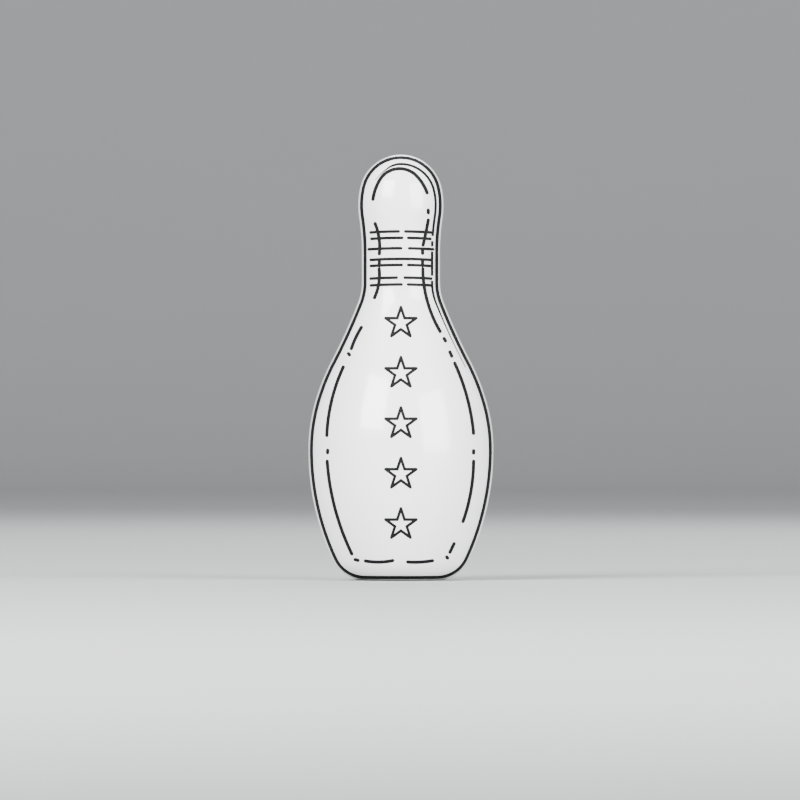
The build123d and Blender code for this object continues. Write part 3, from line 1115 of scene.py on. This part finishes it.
@dataclass
class LineDrawing:
    """Everything that is printed, in the drawing's own plane: x across and z up."""

    outline: PinOutline
    outline_inset: float = 1.6 * MM
    outline_width: float = 2.25 * MM
    star_count: int = 5
    star_radius: float = 14.4 * MM
    star_notch: float = 0.382
    star_line: float = 1.9 * MM
    first_star_height: float = 50.6 * MM
    last_star_drop: float = 36.6 * MM
    stripe_line: float = 2.0 * MM
    stripe_bow: float = 0.8 * MM
    dash_line: float = 2.4 * MM
    thin_line: float = 1.6 * MM
    thin_inset: float = 6.4 * MM
    thin_crown_inset: float = 8.3 * MM
    thin_tail_drop: float = 5.7 * MM
    thin_tail_inset: float = 7.1 * MM
    thin_tip_across: float = 22.8 * MM
    thin_tip_drop: float = 22.8 * MM
    thin_tip_heading: float = 228.0
    thin_end: float = 0.7 * MM
    thin_gap: float = 4.4 * MM
    brow_line: float = 2.5 * MM
    brow_inset: float = 13.3 * MM
    brow_top_shift: float = 1.2 * MM
    brow_left_reach: float = 24.9 * MM
    brow_left_height: float = 4.9 * MM
    brow_right_reach: float = 23.3 * MM
    brow_right_height: float = 10.7 * MM
    spread: float = 0.35 * MM
    breaking_stripes: tuple[int, ...] = (2, 3, 6)
    brow_left_heading: float = 82.0
    brow_right_heading: float = -70.0
    brow_share: float = 0.8
    least_step: float = 0.05
    tip_steps: int = 8
    side_steps: int = 10
    outline_faces: int = 8
    line_faces: int = 4
    spacing: float = 0.9 * MM

    def stripes(self) -> list[tuple[float, float, float, float]]:
        """Each neck stripe's rise over the neck's foot, half length and gap, in mm.

        Returns:
            The rise, the half length, and the middle and width of the gap of each stripe.
        """
        return [
            (44.9, 27.9, 1.0, 4.1),
            (39.2, 27.2, 3.8, 3.5),
            (29.9, 29.6, 3.8, 5.3),
            (20.4, 27.8, 0.0, 0.0),
            (15.0, 27.7, 3.6, 3.9),
            (3.7, 27.9, -0.2, 5.3),
            (-2.4, 27.7, 3.5, 4.0),
        ]

    def dashes(self) -> list[tuple[int, float, list[tuple[float, float]]]]:
        """Each contour dash's side, starting height, and points as rise and inset from the outline, in mm.

        Returns:
            The side, the height and the points of each dash.
        """
        neck = self.outline.neck_foot
        shoulder = self.outline.shoulder_height
        belly = self.outline.belly_height
        return [
            (-1, neck, [(52.5, 13.6), (42.2, 15.6), (25.4, 15.8)]),
            (-1, neck, [(20.1, 15.8), (14.8, 15.8)]),
            (-1, neck, [(11.9, 15.6), (-0.3, 15.4), (-13.8, 13.5)]),
            (1, neck, [(64.4, 13.7), (62.0, 13.4)]),
            (1, neck, [(55.6, 12.6), (43.6, 13.6), (33.2, 15.4)]),
            (1, neck, [(29.0, 15.7), (25.8, 15.7)]),
            (1, neck, [(20.1, 15.7), (14.8, 15.7)]),
            (1, neck, [(11.9, 15.5), (-11.1, 14.2), (-44.0, 14.5)]),
            (-1, shoulder, [(30.0, 12.6), (20.8, 11.8), (11.0, 12.6)]),
            (-1, shoulder, [(6.6, 12.2), (5.4, 13.7)]),
            (-1, shoulder, [(-5.4, 13.7), (-33.0, 14.7), (-66.4, 16.4)]),
            (1, shoulder, [(20.0, 13.9), (17.8, 13.7)]),
            (1, shoulder, [(8.0, 14.6), (4.2, 14.8)]),
            (1, shoulder, [(-2.0, 15.4), (-32.0, 16.7), (-64.5, 17.5)]),
            (-1, belly, [(0.0, 17.7), (-2.2, 17.7)]),
            (-1, belly, [(-9.8, 17.1), (-57.4, 18.6), (-92.4, 20.1)]),
            (1, belly, [(-0.4, 18.2), (-2.6, 18.2)]),
            (1, belly, [(-9.8, 18.0), (-36.5, 17.7), (-63.5, 18.8)]),
            (-1, 0.0, [(19.0, 20.8), (18.4, 23.0)]),
            (1, 0.0, [(33.2, 20.2), (25.6, 20.8)]),
            (1, 0.0, [(21.4, 21.8), (20.4, 20.6)]),
            (-1, 0.0, [(17.9, 29.4), (17.0, 39.0), (18.4, 54.0)]),
            (1, 0.0, [(17.1, 54.5), (17.0, 43.5), (18.2, 33.0)]),
        ]

    def line(self, arcs: list[Arc], width: float) -> Run:
        """A line of even width along some arcs, with the ink's spread."""
        return stroke(path_points(arcs, [arc.steps(self.spacing) for arc in arcs]), width + 2 * self.spread)

    def draw_outline(self) -> list[Run]:
        """The heavy line round the whole drawing.

        Returns:
            Its one run.
        """
        edges = []
        for inset in (self.outline_inset, self.outline_inset + self.outline_width + 2 * self.spread):
            right = self.outline.points(inset, self.spacing)
            left = [np.array((-p[0], p[1])) for p in reversed(right[:-1])]
            steps = math.ceil(2 * self.outline.foot_radius / self.spacing)
            foot = [left[-1] + (right[0] - left[-1]) * share for share in np.arange(1, steps) / steps]
            edges.append(np.array(right + left + foot))
        return [Run(np.stack(edges, axis=1), closed=True)]

    def thin_edge(self, across: float, end_inset: float) -> list[Arc]:
        """One edge of the thin shading line, from its tail up and over the head.

        Args:
            across: how far the edge lies inside the line's drawn outer edge.
            end_inset: how far its two ends are drawn in.

        Returns:
            The edge's arcs.
        """
        pin = self.outline
        tail_height = pin.shoulder_height - self.thin_tail_drop
        tail_reach = pin.radius_at(tail_height) - self.thin_tail_inset - end_inset
        tip_height = pin.height - self.thin_tip_drop - end_inset
        inset = self.thin_inset + across
        stations = [
            Station(tail_reach, tail_height, UP + pin.shoulder_lean, pin.flank_share),
            Station(pin.neck_radius - inset, pin.neck_foot, UP),
            Station(pin.neck_radius - inset, pin.neck_top, UP, pin.head_share),
            Station(pin.head_radius - inset, pin.head_height, UP, pin.crown_share),
            Station(0.0, pin.height - self.thin_crown_inset - across, 2 * UP),
            Station(-self.thin_tip_across, tip_height, self.thin_tip_heading),
        ]
        return arcs_through(stations)

    def draw_shading_line(self) -> list[Run]:
        """The thin line inside the outline, broken where the longest gaps of the stripes meet it.

        Returns:
            Its runs, one between each two breaks.
        """
        outer = self.thin_edge(-self.spread, 0.0)
        inner = self.thin_edge(self.thin_line + self.spread, self.thin_end)
        steps = [arc.steps(self.spacing) for arc in outer]
        edges = [np.array(path_points(arcs, steps)) for arcs in (outer, inner)]
        pairs = np.stack(edges, axis=1)
        heights = pairs[:, :, 1].mean(axis=1)
        rising = int(np.argmax(heights))
        places = np.arange(len(pairs))
        cuts = [0.0]
        for number in self.breaking_stripes[::-1]:
            middle = self.outline.neck_foot + self.stripes()[number - 1][0] * MM
            for edge in (middle - self.thin_gap / 2, middle + self.thin_gap / 2):
                cuts.append(float(np.interp(edge, heights[:rising], places[:rising])))
        cuts.append(float(places[-1]))
        runs = []
        for low, high in zip(cuts[::2], cuts[1::2]):
            inside = places[(places > low + self.least_step) & (places < high - self.least_step)]
            at = np.concatenate(([low], inside, [high]))
            flat = pairs.reshape(len(pairs), 4)
            picked = np.stack([np.interp(at, places, column) for column in flat.T], axis=1)
            runs.append(Run(picked.reshape(-1, 2, 2)))
        return runs

    def draw_brow_arc(self) -> list[Run]:
        """The heavy arc inside the top of the head.

        Returns:
            Its one run.
        """
        pin = self.outline
        left_height = pin.head_height + self.brow_left_height
        right_height = pin.head_height + self.brow_right_height
        stations = [
            Station(-self.brow_left_reach, left_height, self.brow_left_heading, self.brow_share),
            Station(-self.brow_top_shift, pin.height - self.brow_inset, 0.0),
            Station(self.brow_right_reach, right_height, self.brow_right_heading),
        ]
        return [self.line(arcs_through(stations), self.brow_line)]

    def draw_contour_dashes(self) -> list[Run]:
        """The broken lines down both sides and along the foot.

        Returns:
            A run for each dash.
        """
        runs = []
        for side, station, line in self.dashes():
            points = []
            for rise, inset in line:
                height = station + rise * MM
                points.append((side * (self.outline.radius_at(height) - inset * MM), height))
            runs.append(self.line([arc_through(points)], self.dash_line))
        return runs

    def draw_stripe(self, rise: float, half_length: float, gap_middle: float, gap_width: float) -> list[Run]:
        """A slightly bowed stripe across the neck, in two pieces if it has a gap.

        Args:
            rise: its height above the neck's foot, in mm.
            half_length: half its length, in mm.
            gap_middle: the middle of its gap, in mm.
            gap_width: the width of its gap, in mm, or 0.

        Returns:
            The stripe's one or two lines.
        """
        end = half_length * MM - self.stripe_line / 2
        edge = gap_width * MM / 2 + self.stripe_line / 2
        middle = gap_middle * MM
        spans = [(-end, middle - edge), (middle + edge, end)] if gap_width else [(-end, end)]
        runs = []
        for low, high in spans:
            points = []
            for x in (low, (low + high) / 2, high):
                bow = self.stripe_bow * (0.5 - (x / (half_length * MM)) ** 2)
                points.append((x, self.outline.neck_foot + rise * MM + bow))
            runs.append(self.line([arc_through(points)], self.stripe_line))
        return runs

    def draw_star(self, height: float) -> list[Run]:
        """The outline of a five-pointed star, point up, its five tips rounded.

        Args:
            height: the star's middle.

        Returns:
            The star's one closed line.
        """
        corners = []
        for i in range(2 * STAR_TIPS):
            reach = self.star_radius if i % 2 == 0 else self.star_radius * self.star_notch
            turn = math.radians(UP) + math.pi / STAR_TIPS * i
            corners.append(np.array((reach * math.cos(turn), height + reach * math.sin(turn))))
        half = self.star_line / 2 + self.spread
        outer, inner = [], []
        for i, tip in enumerate(corners):
            one = unit_to(corners[i - 1], tip)
            two = unit_to(tip, corners[(i + 1) % len(corners)])
            out_one, out_two = -left_of(one), -left_of(two)
            mitre = (out_one + out_two) / (1 + float(out_one @ out_two))
            if i % 2 == 0:
                first = math.atan2(out_one[1], out_one[0])
                sweep = math.acos(float(out_one @ out_two))
                turns = first + sweep * np.arange(self.tip_steps + 1) / self.tip_steps
                fan = [tip + half * np.array((math.cos(turn), math.sin(turn))) for turn in turns]
            else:
                fan = [tip + mitre * half]
            outer.append(fan)
            inner.append([tip - mitre * half] * len(fan))
        edges = [[], []]
        shares = np.arange(1, self.side_steps) / self.side_steps
        for i in range(len(corners)):
            for edge, row in zip(edges, (outer, inner)):
                start, end = row[i][-1], row[(i + 1) % len(corners)][0]
                edge += row[i]
                edge += [start + (end - start) * share for share in shares]
        return [Run(np.stack([np.array(edge) for edge in edges], axis=1), closed=True)]

    def pieces(self) -> dict[str, tuple[list[Run], int, Finishes, str]]:
        """Every printed piece: its lines, how many faces cross them, its finish and its slot.

        Returns:
            Those four things by the name of the piece.
        """
        few = self.line_faces
        made = {"outline": (self.draw_outline(), self.outline_faces, Finishes.OUTLINE, "outline_print")}
        contours = {
            "shading_line": self.draw_shading_line(),
            "brow_arc": self.draw_brow_arc(),
            "contour_dashes": self.draw_contour_dashes(),
        }
        for name, runs in contours.items():
            made[name] = (runs, few, Finishes.CONTOUR, "contour_print")
        for number, stripe in enumerate(self.stripes(), 1):
            made[f"neck_stripe_{number}"] = (self.draw_stripe(*stripe), few, Finishes.STRIPE, "stripe_print")
        last = self.outline.neck_foot - self.last_star_drop
        pitch = (last - self.first_star_height) / (self.star_count - 1)
        for number in range(self.star_count):
            star = self.draw_star(self.first_star_height + number * pitch)
            made[f"star_{number + 1}"] = (star, few, Finishes.STAR, "star_print")
        return made


def unit_to(start: np.ndarray, end: np.ndarray) -> np.ndarray:
    """The unit vector from one point towards another."""
    return (end - start) / np.linalg.norm(end - start)


def flat_film(name: str, runs: list[Run], across: int, mirror: float) -> bpy.types.Object:
    """The drawing's lines as one flat closed mesh of two layers.

    Args:
        name: the piece's name.
        runs: its lines.
        across: how many faces cross a line.
        mirror: 1 for the front, or -1 to swap left and right for the back.

    Returns:
        The flat piece, whose layer attribute is 1 on top and 0 underneath.
    """
    points, faces, layers = [], [], []
    for run in runs:
        rows = len(run.pairs)
        shares = np.arange(across + 1) / across
        grid = run.pairs[:, :1] + (run.pairs[:, 1:] - run.pairs[:, :1]) * shares[None, :, None]
        base = len(points)
        size = rows * (across + 1)
        for layer in (0.0, 1.0):
            points += [(mirror * x, 0.0, z) for x, z in grid.reshape(-1, 2)]
            layers += [layer] * size
        last = rows if run.closed else rows - 1
        for i in range(last):
            here = base + i * (across + 1)
            there = base + ((i + 1) % rows) * (across + 1)
            for j in range(across):
                faces.append((here + j, here + j + 1, there + j + 1, there + j))
                faces.append((size + there + j, size + there + j + 1, size + here + j + 1, size + here + j))
            for j in (0, across):
                faces.append((here + j, there + j, size + there + j, size + here + j))
        if not run.closed:
            for row in (0, rows - 1):
                start = base + row * (across + 1)
                for j in range(across):
                    faces.append((start + j, start + j + 1, size + start + j + 1, size + start + j))
    piece = new_piece(name, points, faces)
    attribute = piece.data.attributes.new(LAYER, "FLOAT", "POINT")
    attribute.data.foreach_set("value", layers)
    return piece


@dataclass
class PrintedFaces:
    """The drawing, printed on the front of the coat and again on its back."""

    drawing: LineDrawing
    coat: bpy.types.Object
    film: float = 0.15 * MM
    under_film: float = 0.12 * MM
    sink: float = 0.06 * MM

    def build(self) -> None:
        """Prints every piece on both faces and dresses it."""
        press = InkPress()
        pieces = self.drawing.pieces()
        for face, side in (("front", -1.0), ("back", 1.0)):
            for name, (runs, across, finish, slot) in pieces.items():
                piece = flat_film(f"{face}_{name}_ink", runs, across, -side)
                lift = self.under_film if slot == "contour_print" else self.film
                values = {
                    "Coat": self.coat,
                    "Side": side,
                    "Lift": lift,
                    "Sink": self.sink,
                    "Finish": finish.value.material(),
                }
                press.apply(piece, values)
                face_outwards(piece)
                join_frame(piece, slot, f"{face}_{name}")


# ------------------------------------------------------------------- the studio


@dataclass
class Softbox:
    """A square soft light aimed at the pin."""

    name: str
    place: tuple[float, float, float]
    size: float
    power: float


@dataclass
class Studio:
    """A pale floor that curves up into a round wall, soft lights and the camera."""

    floor_radius: float = 9.0
    wall_radius: float = 12.0
    wall_height: float = 9.0
    floor_drop: float = 0.1 * MM
    floor_steps: int = 10
    bend_steps: int = 24
    turns: int = 96
    view_depth: float = 100.0
    camera_distance: float = 9.0
    camera_shift: float = -0.8 * MM
    aim_height: float = 161.2 * MM
    view_width: float = 716.5 * MM
    sensor: float = 36.0
    sky: Colour = (0.97, 0.985, 1.0)
    sky_strength: float = 0.9

    def build(self, lathe: Lathe) -> None:
        """Builds the whole studio.

        Args:
            lathe: the tree that turns profiles.
        """
        self.build_cove(lathe)
        target = Vector((0.0, 0.0, self.aim_height))
        boxes = (
            Softbox("key_light", (-2.8, -3.6, 2.6), 2.8, 800.0),
            Softbox("fill_light", (3.2, -3.2, 1.5), 3.0, 560.0),
            Softbox("rim_light", (0.6, 3.2, 3.0), 2.4, 130.0),
        )
        for box in boxes:
            self.hang(box, target)
        self.place_camera()
        world = bpy.data.worlds.new("studio_sky")
        world.use_nodes = True
        ground = world.node_tree.nodes["Background"]
        ground.inputs["Color"].default_value = (*self.sky, 1.0)
        ground.inputs["Strength"].default_value = self.sky_strength
        bpy.context.scene.world = world

    def build_cove(self, lathe: Lathe) -> None:
        """The floor and the wall in one sheet.

        Args:
            lathe: the lathe that turns the sheet.
        """
        bend = self.wall_radius - self.floor_radius
        shares = np.arange(self.floor_steps) / self.floor_steps
        flat = [np.array((share * self.floor_radius, 0.0)) for share in shares]
        turns = np.arange(self.bend_steps + 1) / self.bend_steps * math.pi / 2
        curve = [np.array((self.floor_radius + bend * math.sin(t), bend * (1 - math.cos(t)))) for t in turns]
        wall = [np.array((self.wall_radius, self.wall_height))]
        profile = [p - np.array((0.0, self.floor_drop)) for p in flat + curve + wall]
        lathe.turn("studio_cove", profile, self.turns, Finishes.PAPER)

    def hang(self, box: Softbox, target: Vector) -> None:
        """Hangs a soft light so that it faces the pin.

        Args:
            box: the light's sizes and place.
            target: the point that it faces.
        """
        light = bpy.data.lights.new(box.name, "AREA")
        light.shape = "SQUARE"
        light.size = box.size
        light.energy = box.power
        lamp = bpy.data.objects.new(box.name, light)
        lamp.location = box.place
        lamp.rotation_euler = (target - Vector(box.place)).to_track_quat("-Z", "Y").to_euler()
        bpy.context.scene.collection.objects.link(lamp)

    def place_camera(self) -> None:
        """A level camera straight in front of the pin, far off, so that the sides run parallel."""
        lens = bpy.data.cameras.new("camera")
        lens.sensor_width = self.sensor
        lens.lens = self.sensor * self.camera_distance / self.view_width
        lens.clip_end = self.view_depth
        camera = bpy.data.objects.new("camera", lens)
        camera.location = (self.camera_shift, -self.camera_distance, self.aim_height)
        camera.rotation_euler = (math.radians(UP), 0.0, 0.0)
        bpy.context.scene.collection.objects.link(camera)
        bpy.context.scene.camera = camera


def main() -> None:
    """Builds the pin and its studio."""
    logging.basicConfig(level=logging.INFO, format="%(name)s: %(message)s")
    outline = PinOutline()
    lathe = Lathe()
    coat = PlasticCoat(outline)
    shell = coat.build(lathe)
    BasePlate(coat).build(lathe)
    MapleCore().dress()
    PrintedFaces(LineDrawing(outline), shell).build()
    Studio().build(lathe)


if __name__ == "__main__":
    main()
